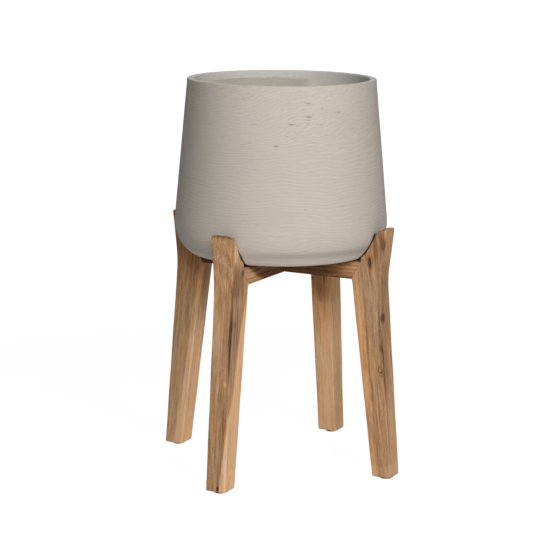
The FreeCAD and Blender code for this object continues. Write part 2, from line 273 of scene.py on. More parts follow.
for name, (azimuth, elevation, power, colour) in LAMPS.items():
    azimuth, elevation = math.radians(azimuth), math.radians(elevation)
    light = bpy.data.lights.new(name, "AREA")
    light.shape, light.size, light.energy, light.color = "SQUARE", LAMP_SIZE, power, colour
    lamp = bpy.data.objects.new(name, light)
    level_reach = LAMP_DISTANCE * math.cos(elevation)
    lamp.location = (level_reach * math.sin(azimuth), -level_reach * math.cos(azimuth),
                     AIM_HEIGHT + LAMP_DISTANCE * math.sin(elevation))
    lamp.rotation_euler = (math.pi / 2 - elevation, 0, azimuth)
    bpy.context.scene.collection.objects.link(lamp)
    print(name, "at", [round(value, 2) for value in lamp.location])

# %% [markdown]
# ## Skins from grids
# Every new piece is a grid of points worked out with numpy. Its columns close around the piece
# and its rows run along it, so one function can skin them all.


# %% Skin a grid of points
def skin(name, grid, ring=False):
    """Joins each point of a grid to the next along its row and to the row above, as quads.

    Rows close around. With ring the last row joins the first; otherwise a point in the middle
    of the first and of the last row closes the ends with triangles. Points are in mm.
    """
    rows, columns, _ = grid.shape
    row = np.arange(rows if ring else rows - 1)[:, None]
    column = np.arange(columns)[None, :]
    beside, above = (column + 1) % columns, (row + 1) % rows
    quads = np.stack([row * columns + column, row * columns + beside,
                      above * columns + beside, above * columns + column], axis=-1)
    points, faces = grid.reshape(-1, 3), quads.reshape(-1, 4).tolist()
    if not ring:
        points = np.concatenate([points, grid[:1].mean(axis=1), grid[-1:].mean(axis=1)])
        first, last = column[0], column[0] + (rows - 1) * columns
        pole = np.full(columns, rows * columns)
        faces += np.stack([np.roll(first, -1), first, pole], axis=1).tolist()
        faces += np.stack([last, np.roll(last, -1), pole + 1], axis=1).tolist()
    mesh = bpy.data.meshes.new(name)
    mesh.from_pydata((points * MM).tolist(), [], faces)
    mesh.polygons.foreach_set("use_smooth", [True] * len(faces))
    mesh.update()
    piece = bpy.data.objects.new(name, mesh)
    bpy.context.scene.collection.objects.link(piece)
    print(name, "has", len(points), "points and", len(faces), "faces")
    return piece


def arc(centre, radius, first, last, count):
    """Points on a circle around the centre, evenly from the first to the last angle."""
    angle = np.radians(np.linspace(first, last, count))
    return np.stack([centre[0] + radius * np.cos(angle),
                     centre[1] + radius * np.sin(angle)], axis=1)


def run(start, end, count):
    """Evenly spaced points on a straight line between two points, both left out."""
    part = np.linspace(0, 1, count + 2)[1:-1, None]
    return np.array(start) * (1 - part) + np.array(end) * part


# %% [markdown]
# ## The pot
# The pot is cast fibre clay, turned true but finished by hand. Its section is a chain of arcs
# and straight lines: a flat seat that curves up at its edge, a tight corner, a wide arc out to
# the belly, a straight wall that leans in, a rounded lip, and the same way back inside. Such a
# profile could be spun with the Screw modifier. A grid does the same, and each of its points
# can also sink a little, so that the wall has the faint dents of a hand-finished one.

# %% Work out the pot's profile
POT_FOOT, POT_RIM = 389, 700
RIM_RADIUS, WALL = 167, 12
BELLY, BELLY_ARC, BELLY_HEIGHT = 190, 64, 446.3
SEAT_RADIUS, SEAT_RISE, SEAT_SLOPE = 126.81, 3.2, 12
CORNER_ARC, CORNER_SLOPE = 21, 51.30
BOWL_ARC, BOWL_PLACE = 43, (135, 444)
HOLE_RADIUS, LIP, HOLE_LIP = 12, 2.0, 0.8
POT_FLOOR = POT_FOOT + WALL
# How many points are on each kind of rounding and on each straight run between two of them.
SMALL_ROUND, CORNER_ROUND, WIDE_ROUND, HOLE_ROUND = 7, 12, 26, 4
STRAIGHT = {"underside": 16, "outer wall": 58, "lip": 3, "inner wall": 44, "floor": 16, "hole": 2}
# From this part of the section on, points are on the lip's flat top or further in.
FIRST_INWARD = 4

belly_place = (BELLY - BELLY_ARC, BELLY_HEIGHT)
reach = math.hypot(RIM_RADIUS - belly_place[0], POT_RIM - belly_place[1])
LEAN = math.degrees(math.atan2(POT_RIM - belly_place[1], RIM_RADIUS - belly_place[0])
                    - math.acos(BELLY_ARC / reach))
SLOPE = math.tan(math.radians(LEAN))


def pot_profile():
    """The section once around: underside, rounded foot, wall, lip, inner wall, floor, hole.

    Each rounding is an arc around its own centre, and each run between two of them is straight.
    A number for each point is 1 on the lip's flat top and further in, and 0 outside it.
    """
    shift = LIP * SLOPE
    squeeze = LIP / math.cos(math.radians(LEAN))
    inner_radius = RIM_RADIUS - WALL / math.cos(math.radians(LEAN))
    outer_lip = (RIM_RADIUS + shift - squeeze, POT_RIM - LIP)
    inner_lip = (inner_radius + shift + squeeze, POT_RIM - LIP)
    seat = SEAT_RISE / (1 - math.cos(math.radians(SEAT_SLOPE)))
    foot = arc((SEAT_RADIUS, POT_FOOT + seat), seat, -90, SEAT_SLOPE - 90, SMALL_ROUND)
    belly = arc(belly_place, BELLY_ARC, -CORNER_SLOPE, LEAN, WIDE_ROUND)
    corner = arc(belly_place, BELLY_ARC - CORNER_ARC, -CORNER_SLOPE, -CORNER_SLOPE, 1)[0]
    corner = arc(corner, CORNER_ARC, SEAT_SLOPE - 90, -CORNER_SLOPE, CORNER_ROUND)
    print("the corner misses the seat by", np.round(corner[0] - foot[-1], 2), "mm")
    foot = np.concatenate([foot, corner[1:], belly[1:]])
    bowl = arc(BOWL_PLACE, BOWL_ARC, LEAN, -90, WIDE_ROUND)
    outside = arc(outer_lip, LIP, LEAN, 90, SMALL_ROUND)
    inside = arc(inner_lip, LIP, 90, 180 + LEAN, SMALL_ROUND)
    hole = HOLE_RADIUS + HOLE_LIP
    hole_top = arc((hole, POT_FLOOR - HOLE_LIP), HOLE_LIP, 90, 180, HOLE_ROUND)
    hole_foot = arc((hole, POT_FOOT + HOLE_LIP), HOLE_LIP, 180, 270, HOLE_ROUND)
    parts = [run(hole_foot[-1], foot[0], STRAIGHT["underside"]), foot,
             run(foot[-1], outside[0], STRAIGHT["outer wall"]), outside,
             run(outside[-1], inside[0], STRAIGHT["lip"]), inside,
             run(inside[-1], bowl[0], STRAIGHT["inner wall"]), bowl,
             run(bowl[-1], hole_top[0], STRAIGHT["floor"]), hole_top,
             run(hole_top[-1], hole_foot[0], STRAIGHT["hole"]), hole_foot]
    inward = np.concatenate([np.full(len(part), float(number >= FIRST_INWARD))
                             for number, part in enumerate(parts)])
    return np.concatenate(parts), inward


profile, inward = pot_profile()
print("wall leans", round(LEAN, 2), "degrees,", len(profile), "points around the section")

# %% Turn the profile and let the wall sink a little
POT_COLUMNS = 320
DENT_DEPTH, DENT_RISE, DENT_END = 0.8, 40, 6
# Each wave has its count around the pot, its start, the height for one radian and its share.
WAVES = [(2, 0.4, 90, 1), (3, 2.1, -60, 1), (7, 0, 37, 0.6), (5, 0, -23, 0.5)]


def dent(angle, height):
    """A sink from 0 to 1: four slow waves around and up the wall, added and made positive."""
    waves = sum(share * np.sin(count * angle + start + height / rise)
                for count, start, rise, share in WAVES)
    return (waves / sum(share for *_, share in WAVES) + 1) / 2


angle = np.linspace(0, 2 * math.pi, POT_COLUMNS, endpoint=False)[None, :]
radius, height = profile[:, :1], profile[:, 1:]
free = (np.clip((height - POT_FLOOR) / DENT_RISE, 0, 1)
        * np.clip((POT_RIM - height) / DENT_END, 0, 1))
radius = radius - DENT_DEPTH * dent(angle, height) * free
turned = np.stack([radius * np.cos(angle), radius * np.sin(angle), height + 0 * angle], axis=-1)
pot = skin("pot_body", turned, ring=True)
marking = pot.data.attributes.new("inward", "FLOAT", "POINT")
marking.data.foreach_set("value", np.repeat(inward, POT_COLUMNS).astype(np.float32))
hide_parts("pot")
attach(pot, "pot")

# %% [markdown]
# ## Fibre clay
# The clay was scraped while it was damp, which left fine ripples a few millimetres apart that
# run round the wall and bend like the lines of a fingerprint, most of all toward the rim. They
# are a sine of the height, pushed up and down by slow noise. Clouds, grains and a few small
# pits are laid over them. Light and shade are painted in as well, following the pot's own
# shape: a darker band low on the foot is painted shade, the seat and the lip's top are paler as
# painted highlight, and a painted shadow lies in the gap between the foot and the front legs.
# An olive stain lies inside, below the lip. Height alone can't tell the two sides of a wall
# apart, so the stain, the painted shadow in the gap and the inner colour read a number that is
# kept with each point.

# %% Pit the clay
# Each pit has a direction in degrees and a height, its half length in mm, and its depth.
PITS = [(-91.9, 672, 5.0, 1.0), (-83.7, 663, 3.4, 0.6), (-73.1, 655, 6.0, 0.8),
        (-91.7, 649, 6.0, 1.0), (-92.1, 644, 3.5, 0.7), (-101.7, 637, 6.0, 1.0),
        (-98.1, 635, 3.6, 0.7), (-92.3, 636, 4.0, 0.5), (-84.0, 635, 4.0, 0.4),
        (-103.9, 617, 2.6, 0.5), (-100.1, 613, 5.0, 0.3), (-80.9, 618, 4.0, 0.3),
        (-110.0, 601, 4.5, 1.0), (-129.8, 677, 6.0, 0.5), (-122.5, 636, 7.0, 0.4),
        (-124.8, 605, 5.0, 0.4), (-72.8, 497, 4.0, 0.5), (-94.3, 494, 3.0, 0.4),
        (-119.3, 469, 5.0, 0.4), (-48.4, 642, 4.0, 0.5), (-33.4, 659, 4.0, 0.4),
        (-99.0, 432, 5.0, 0.5), (-111.6, 432, 4.0, 0.5)]
PIT_DEEP, PIT_HIGH, PIT_EDGE = 4, 1.5, (1.3, 0.4)


def pot_reach(height):
    """The outer wall's radius at a height above the rounded foot."""
    return RIM_RADIUS + (POT_RIM - height) * SLOPE


def pitted(shader):
    """How deep a place is in any pit: each is an ellipsoid on the wall with soft edges."""
    deepest = None
    for direction, height, long, depth in PITS:
        turn = math.radians(direction)
        centre = (pot_reach(height) * math.cos(turn), pot_reach(height) * math.sin(turn), height)
        near = shader.local(centre, (0, 0, direction), (PIT_DEEP, long, PIT_HIGH))
        pit = shader.vector("LENGTH", near).rise(*PIT_EDGE) * depth
        deepest = pit if deepest is None else deepest.larger(pit)
    return deepest


print(len(PITS), "pits")

# %% Say where light and shade are painted on the clay
# Each pair is where a mark starts and where it is full, as heights or as places along ACROSS,
# a level direction that points to the pot's right and a little to its front.
ACROSS = (0.956, -0.292, 0)
# A darker band low on the foot is painted shade, fading out toward the pot's left.
BAND_TOP, BAND_FOOT, BAND_SIDE = (424, 416), (407, 413), (-100, 20)
# The seat and the lip's top are made paler, as painted highlight.
HIGHLIGHT_SEAT, HIGHLIGHT_LIP = (409, 399), (POT_RIM - 0.9, POT_RIM - 0.2)
STAIN_TOP, STAIN_RIGHT, STAIN_LEFT = (POT_RIM - 8, POT_RIM - 12), (66, 40), (-128, -92)
# The painted shadow in the gap lies between two distances from the upright plane through a
# leg's middle. It draws nearer to that plane with the height, and ends at the leg's top.
GAP_SIDES = ((-0.707, -0.707, 0), (0.707, -0.707, 0))
GAP_NEAR, GAP_FAR, GAP_TOP, GAP_FRONT = (9, 14), (21.2, 19.8), (444, 436), (0, 20)
GAP_FOOT, GAP_SLANT, GAP_DARK = 410, 0.30, 0.85


def gap_painted_shade(shader, place, height):
    """Painted shadow in the gap beside the front legs: 1 between both distances, 0 elsewhere."""
    slant = (height - GAP_FOOT).larger(0) * GAP_SLANT
    gap_shade = None
    for side in GAP_SIDES:
        aside = shader.vector("DOT_PRODUCT", place, side) + slant
        line = aside.rise(*GAP_FAR) * aside.rise(*GAP_NEAR)
        gap_shade = line if gap_shade is None else gap_shade.larger(line)
    forward = shader.vector("DOT_PRODUCT", place, (0, -1, 0))
    return gap_shade * forward.rise(*GAP_FRONT) * height.rise(*GAP_TOP)


print("dirt lies beside", len(GAP_SIDES), "legs, up to", GAP_TOP[0], "mm")


# %% Ripple the clay
# In mm: how far apart the ripples are, and the two heights between which they get livelier.
# Where they are lively they also rise to the right, by a tilt in waves per mm.
RIPPLE, RIPPLE_TILT, LIVELY = 6.0, 0.04, (540, 660)


def rippled(shader, place, height, level, high):
    """A wave from -1 to 1: the sine of the height, which noise and the tilt push up and down.

    The noise bends it most where high is 1, and patches of it are fainter than the rest.
    """
    drift = shader.noise(place, (90, 90, 70), 1)
    bend = shader.noise(place, (20, 20, 13), 2)
    phase = height / RIPPLE + drift * 5 + bend * (high * 2.3 + 0.6) - level * high * RIPPLE_TILT
    patch = shader.noise(place, (24, 24, 9), 2).rise(0.36, 0.62) * 0.8 + 0.2
    return (phase * (2 * math.pi)).sine() * patch


print("ripples are", RIPPLE, "mm apart")


# %% Make the clay
CLAY, CLAY_INSIDE, CLAY_STAIN = (0.540, 0.485, 0.432), (0.66, 0.635, 0.60), (0.50, 0.475, 0.41)
# The second number is how dark the painted-shade band is, the third how pale the painted
# highlight is.
CLAY_ROUGHNESS, BAND_DARK, HIGHLIGHT_PALE, WANDER = 0.86, 0.19, 0.36, 16
# Each layer of noise has the size of its lumps in mm, its detail, and its shares of the tone
# and of the relief. Ripples, scratches and pits have such shares as well.
LAYERS = {"cloud": ((95, 95, 70), 3, 0.10, 0.0), "mottle": ((11, 11, 5), 3, 0.09, 0.25),
          "grain": ((1.6, 1.6, 1.2), 2, 0.07, 0.10)}
RIPPLE_TONE, SCRATCH_TONE, PIT_TONE = 0.056, 0.09, 0.36
RIPPLE_RELIEF, SCRATCH_RELIEF, PIT_RELIEF = 0.05, 0.08, 0.5


def clay(shader):
    """The clay's relief, colour and roughness, from its marks and its layers of noise."""
    place = shader.local()
    height = shader.node("SeparateXYZ", {}, {0: place}, "Z")
    level = shader.vector("DOT_PRODUCT", place, ACROSS)
    inner = shader.node("Attribute", {"attribute_name": "inward"}, output="Fac")
    high = height.rise(*LIVELY)
    ripple = rippled(shader, place, height, level, high)
    tone, relief, layers = 1 + ripple * RIPPLE_TONE, ripple * RIPPLE_RELIEF, {}
    for layer, (size, detail, tone_share, relief_share) in LAYERS.items():
        layers[layer] = shader.noise(place, size, detail) - 0.5
        tone = tone + layers[layer] * tone_share
        relief = relief + layers[layer] * relief_share
    scratch = shader.noise(place, (7, 7, 1.7), 2).rise(0.58, 0.74) * (high * 0.7 + 0.3)
    pits = pitted(shader)
    tone = tone * (1 - scratch * SCRATCH_TONE) * (1 - pits * PIT_TONE)
    relief = relief - pits * PIT_RELIEF - scratch * SCRATCH_RELIEF
    # Painted shade: a darker band low on the foot, fading toward the pot's left.
    painted_shade_band = height.rise(*BAND_TOP) * height.rise(*BAND_FOOT) * level.rise(*BAND_SIDE)
    # Painted highlight: the seat and the lip's top are made paler.
    painted_highlight = height.rise(*HIGHLIGHT_SEAT) + height.rise(*HIGHLIGHT_LIP)
    # Painted shadow in the gap between the foot and the front legs, on the outer clay only.
    gap_shade = gap_painted_shade(shader, place, height) * (1 - inner) * GAP_DARK
    tone = tone * (1 - painted_shade_band * BAND_DARK) * (1 + painted_highlight * HIGHLIGHT_PALE) * (1 - gap_shade)
    wander = shader.noise(place, (26, 26, 10), 3) * WANDER
    stain = inner * (height + wander * 0.4).rise(*STAIN_TOP)
    stain = stain * (level + wander).rise(*STAIN_RIGHT) * (level + wander).rise(*STAIN_LEFT)
    colour = shader.mix(inner, CLAY, CLAY_INSIDE)
    colour = shader.mix(stain, colour, CLAY_STAIN)
    colour = shader.node("VectorMath", {"operation": "SCALE"}, {0: colour, "Scale": tone})
    return relief, {"Base Color": colour, "Roughness": CLAY_ROUGHNESS + layers["mottle"] * 0.2}


pot.data.materials.append(finish("fibre_clay_scraped", clay, {"Specular IOR Level": 0.35}))
print("the clay's finish has", len(pot.data.materials[0].node_tree.nodes), "nodes")

# %% [markdown]
# ## The legs
# Each leg is sawn from one board. Below the bar it leans outward, and above it its inner side
# slants so that the pot settles between the four. Just above the bar that side is a little
# fuller. The section is a rectangle whose corners were eased by sanding, except that the inner
# ones stay sharp at the joint with the bar. A box with a bevel could be bent to shape. A loft
# of such sections follows the two outlines more closely.

# %% Draw a leg's outlines
LEG_FOOT, KNEE, SLANT = 4, 357, math.tan(math.radians(28.6))
INNER_FOOT, OUTER_FOOT, INNER_KNEE, OUTER_KNEE = 197.63, 233.63, 151.13, 205.13
INNER_TOP, OUTER_TOP = 446.3, (215.6, 449.2)
BEND, BAR_TOP = 24, 389
# In mm: how much fuller the slanted side is, and the start, middle and spread of that above the
# bar.
FULL, FULL_START, FULL_MIDDLE, FULL_SPREAD = 3.6, 3, 7.5, 6


def inner_reach(height):
    """The leg's inner outline: straight up to the knee, then slanted, full above the bar.

    The fullness is a bell curve of the height, which starts at the bar's top.
    """
    lower = INNER_FOOT + (height - LEG_FOOT) * (INNER_KNEE - INNER_FOOT) / (KNEE - LEG_FOOT)
    above = height - BAR_TOP
    bell = np.exp(-((above - FULL_MIDDLE) / FULL_SPREAD) ** 2)
    full = FULL * bell * np.clip(above / FULL_START, 0, 1)
    return np.where(height < KNEE, lower, INNER_KNEE + (height - KNEE) * SLANT - full)


def outer_reach(height):
    """The leg's outer outline: two straight lines, joined by a parabola around the knee."""
    below = (OUTER_KNEE - OUTER_FOOT) / (KNEE - LEG_FOOT)
    above = (OUTER_TOP[0] - OUTER_KNEE) / (OUTER_TOP[1] - KNEE)
    past = np.clip((height - KNEE + BEND) / (2 * BEND), 0, 1)
    bent = (above - below) * BEND * past ** 2
    return (OUTER_KNEE + (height - KNEE) * below + bent
            + (above - below) * np.maximum(height - KNEE - BEND, 0))


print("a leg is", round(OUTER_FOOT - INNER_FOOT, 1), "mm deep at its foot and",
      round(OUTER_KNEE - INNER_KNEE, 1), "mm at its knee")

# %% Space the rows of a leg
EASE = 2.8
# The insets of the rows that close an end, and how far up the straight rows start and stop.
CAP_INSETS, BODY_START, BODY_STOP = (EASE + 6, EASE + 0.8), 0.012, 0.988
LOWER_ROWS, JOINT_ROWS, UPPER_ROWS, EDGE_ROWS = 70, 9, 15, 6


def leg_rows():
    """Along the leg: how far up each row is from 0 to 1, its lift at the ends and its inset.

    Both ends are quarter circles between the flat end and the side, closed by two inset rows.
    """
    knee = (KNEE - LEG_FOOT) / (INNER_TOP - LEG_FOOT)
    bar_top = (BAR_TOP - LEG_FOOT) / (INNER_TOP - LEG_FOOT)
    turn = np.radians(np.linspace(0, 90, EDGE_ROWS))
    foot_edge = np.stack([0 * turn, EASE * (1 - np.cos(turn)), EASE * (1 - np.sin(turn))])
    top_edge = np.stack([0 * turn + 1, -EASE * (1 - np.sin(turn)), EASE * (1 - np.cos(turn))])
    foot_cap = np.array([[0, 0, inset] for inset in CAP_INSETS]).T
    top_cap = np.array([[1, 0, inset] for inset in reversed(CAP_INSETS)]).T
    way = np.concatenate([np.linspace(BODY_START, knee, LOWER_ROWS)[:-1],
                          np.linspace(knee, bar_top, JOINT_ROWS)[:-1],
                          np.linspace(bar_top, BODY_STOP, UPPER_ROWS)])
    body = np.stack([way, 0 * way, 0 * way])
    return np.concatenate([foot_cap, foot_edge, body, top_edge, top_cap], axis=1)


print("a leg has", leg_rows().shape[1], "rows")

# %% Shape the sections of a leg
HALF_LEG, SIDE_SPOTS = 19.0, (0, 0.05, 0.35, 0.65, 0.95)
# Sanding leaves edges that vary in width along the leg. The inner two stay sharp at the joint,
# from the knee to a little past the bar.
EASE_SWING, EASE_WAVE, SHARP, SMALLEST = 0.5, 23, 0.4, 0.15
JOINT_PAST, JOINT_FADE = 16, 6


def leg_grid(number):
    """Corner arcs and sides of a rectangle between both outlines, for every row of the leg.

    The outlines give how far out each row reaches, and the height runs evenly between theirs.
    """
    up, lift, inset = [row[:, None] for row in leg_rows()]
    inner_height = LEG_FOOT + up * (INNER_TOP - LEG_FOOT) + lift
    outer_height = LEG_FOOT + up * (OUTER_TOP[1] - LEG_FOOT) + lift
    inner, outer = inner_reach(inner_height) + inset, outer_reach(outer_height) - inset
    half = HALF_LEG - inset
    ease = EASE + EASE_SWING * np.sin(up * EASE_WAVE + 2 * number)
    joint = (np.clip((inner_height - KNEE + JOINT_FADE) / JOINT_FADE, 0, 1)
             * np.clip((BAR_TOP + JOINT_PAST - inner_height) / JOINT_FADE, 0, 1))
    sharp = SHARP + (ease - SHARP) * (1 - joint)
    ring_r, ring_a = [], []
    for quarter, (out, across) in enumerate([(1, 1), (-1, 1), (-1, -1), (1, -1)]):
        corner = np.maximum((ease if out > 0 else sharp) - inset * 0.9, SMALLEST)
        turn = np.radians(90 * quarter + np.linspace(0, 90, SMALL_ROUND))[None, :]
        middle_r = np.where(out > 0, outer - corner, inner + corner)
        ring_r.append(middle_r + corner * np.cos(turn))
        ring_a.append(across * (half - corner) + corner * np.sin(turn))
    spots = np.array(SIDE_SPOTS)[None, :]
    parts_r, parts_a = [], []
    for quarter in range(4):
        after = (quarter + 1) % 4
        for rings, parts in ((ring_r, parts_r), (ring_a, parts_a)):
            start, end = rings[quarter][:, -1:], rings[after][:, :1]
            parts += [rings[quarter][:, :-1], start + (end - start) * spots]
    reach_out, across = np.concatenate(parts_r, axis=1), np.concatenate(parts_a, axis=1)
    part = (reach_out - inner) / (outer - inner)
    height = inner_height + (outer_height - inner_height) * part
    return reach_out, across, height


print("a section of a leg has", leg_grid(0)[0].shape[1], "points")


# %% Build the four legs
LEGS = {"front_left": -135, "front_right": -45, "back_right": 45, "back_left": 135}
legs = {}
for number, (place, direction) in enumerate(LEGS.items()):
    reach_out, across, height = leg_grid(number)
    turn = math.radians(direction)
    grid = np.stack([reach_out * math.cos(turn) - across * math.sin(turn),
                     reach_out * math.sin(turn) + across * math.cos(turn), height], axis=-1)
    leg = skin(place + "_board", grid)
    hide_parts(place + "_leg")
    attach(leg, "stand")
    legs[place] = leg

# %% [markdown]
# ## Acacia
# Acacia boards are streaked along the grain in tan, gold and dark brown, with knots that the
# grain flows around. A picture of wood could be wrapped around each board, but then the grain
# would not pass through it from side to side. Here each board has its own axes, with z along
# the grain: growth rings are distances from a pith line beside it, and the streaks are noise
# drawn out lengthwise. One ramp turns the sum of all that into a colour, from knot to sapwood.
# Patches of grey and gold then tint it, as weather and oil do. Patches of red are heartwood on
# the front right leg; under the pot, on the back legs and the bars, they are painted warm light,
# bounced between the wood in the shade.

# %% Choose the wood's colours and grain
WOOD = [(0.00, (0.058, 0.021, 0.008)), (0.20, (0.190, 0.085, 0.034)),
        (0.40, (0.345, 0.182, 0.088)), (0.58, (0.490, 0.284, 0.150)),
        (0.80, (0.690, 0.425, 0.236)), (1.00, (0.900, 0.560, 0.325))]
MIDDLE_SHADE, BOARD_APART = 0.55, 900.0
RING_WIDTH, RING_SHADE, RING_RELIEF, RING_WANDER = 7.0, 0.10, 0.05, 26
PORE_SHADE, PORE_RELIEF = 0.20, 0.12
# In mm: half the width of sapwood's edge, how far that edge sways, and how far a knot pushes
# the rings. The edge of a spot sways by a part of its own size.
SAP_EDGE, SAP_SWAY, KNOT_BULGE, SPOT_SWAY = 4, 16, 8, 0.5
WOOD_ROUGHNESS = 0.66
GREY_TINT, GOLD_TINT, RED_TINT = (0.97, 1.03, 1.18), (1.03, 0.98, 0.86), (1.04, 0.90, 0.76)
# Each layer of grain has the size of its lumps in mm, its detail, and its shares of the shade
# and of the relief.
GRAIN = {"broad": ((13, 13, 240), 2, 0.30, 0.0), "middle": ((3.6, 3.6, 75), 2, 0.56, 0.25),
         "fine": ((1.2, 1.2, 20), 2, 0.50, 0.24), "saw": ((9, 9, 1.3), 1, 0.10, 0.0)}


def distance_in(shader, place, centre, sizes):
    """How far a place is from a centre, where 1 is on the ellipsoid with the half sizes."""
    near = shader.vector("SUBTRACT", place, centre)
    return shader.vector("LENGTH", shader.vector("DIVIDE", near, sizes))


print(len(WOOD), "shades of wood and", len(GRAIN), "layers of grain")


# %% Describe one board's wood
def acacia(number, axes, pith, tone=0.0, fade=0.0, sapwood_and_painted_light=(), streaks=(), knots=(), grey=None,
           red=None):
    """Gives a board's finish, from its centre and turn, in its own axes with z along the grain.

    Tone is added to the shade all over and fade per metre toward the foot. Planes, each a
    direction, a start and an amount, make the wood paler past them, as pale outer wood does, or
    darker where the amount is negative; some of them are painted light and some painted shade.
    Streaks are long soft spots, each a centre, half sizes and a depth. Knots have a dark rim of a
    depth of its own as well, and the grain bulges around them. The spots grey and red, each a
    centre and half sizes, have the tint of weathered wood and a red tint: heartwood on one
    board, and painted warm bounce light in the shade under the pot on the others.
    """

    def make(shader):
        place = shader.local(*axes)
        along = shader.node("SeparateXYZ", {}, {0: place}, "Z")
        shifted = shader.vector("ADD", place, (0, 0, BOARD_APART * number))
        sway = shader.noise(shifted, (14, 14, 60), 3) - 0.5
        wander = shader.noise(shifted, (40, 40, 260), 2) - 0.5
        from_pith = shader.vector("SUBTRACT", place, (*pith, 0))
        from_pith = shader.vector("MULTIPLY", from_pith, (1, 1, 0))
        distance = shader.vector("LENGTH", from_pith) + wander * RING_WANDER
        shade = MIDDLE_SHADE + tone - along * (fade * MM)
        for direction, start, amount in sapwood_and_painted_light:
            past = shader.vector("DOT_PRODUCT", place, direction) + sway * SAP_SWAY
            shade = shade + past.rise(start - SAP_EDGE, start + SAP_EDGE) * amount
        for centre, sizes, depth, *rim in (*streaks, *knots):
            away = distance_in(shader, place, centre, sizes) + sway * SPOT_SWAY
            shade = shade - away.rise(1.0, 0.3) * depth
            if rim:
                distance = distance + (away * away * -0.3).exponential() * KNOT_BULGE
                shade = shade - away.rise(0.6, 1.0) * away.rise(1.5, 1.0) * rim[0]
        rings = (distance * (2 * math.pi / RING_WIDTH)).sine() * 0.5 + 0.5
        shade = shade + (rings ** 2 - 0.4) * RING_SHADE
        relief, layers = rings * RING_RELIEF, {}
        for layer, (size, detail, shade_share, relief_share) in GRAIN.items():
            layers[layer] = shader.noise(shifted, size, detail) - 0.5
            shade = shade + layers[layer] * shade_share
            relief = relief + layers[layer] * relief_share
        pores = shader.noise(shifted, (0.7, 0.7, 9), 1).rise(0.62, 0.72)
        colour = shader.node("ValToRGB", {"stops": WOOD}, {0: shade - pores * PORE_SHADE})
        greyed = shader.noise(shifted, (15, 15, 110), 2).rise(0.48, 0.74)
        golden = shader.noise(shifted, (9, 9, 80), 2).rise(0.62, 0.40)
        if grey:
            away = distance_in(shader, place, *grey) + sway * SPOT_SWAY
            greyed = greyed.larger(away.rise(1.1, 0.5))
            golden = golden * away.rise(0.5, 1.1)
        colour = shader.mix(greyed, colour, GREY_TINT, "MULTIPLY")
        colour = shader.mix(golden, colour, GOLD_TINT, "MULTIPLY")
        if red:
            reddened = (distance_in(shader, place, *red) + sway * SPOT_SWAY).rise(1.2, 0.6)
            colour = shader.mix(reddened, colour, RED_TINT, "MULTIPLY")
        relief = relief - pores * PORE_RELIEF
        return relief, {"Base Color": colour, "Roughness": WOOD_ROUGHNESS - layers["fine"] * 0.2}

    return finish("acacia_board_%d" % number, make, {"Specular IOR Level": 0.3})


# %% [markdown]
# ## The boards of the legs
# No two boards are alike, so each leg gets its own pith, planes of sapwood and of painted light
# and shade, streaks and knots, in mm from its middle: x points away from the pot, y to the left
# as seen from the pot, and z up along the grain. A dark streak runs down one edge of the front
# left leg, and the front right leg has the darkest knot. Streaks of a negative depth are pale.
# Some of these marks are painted light and shade, as the comments at the boards say.

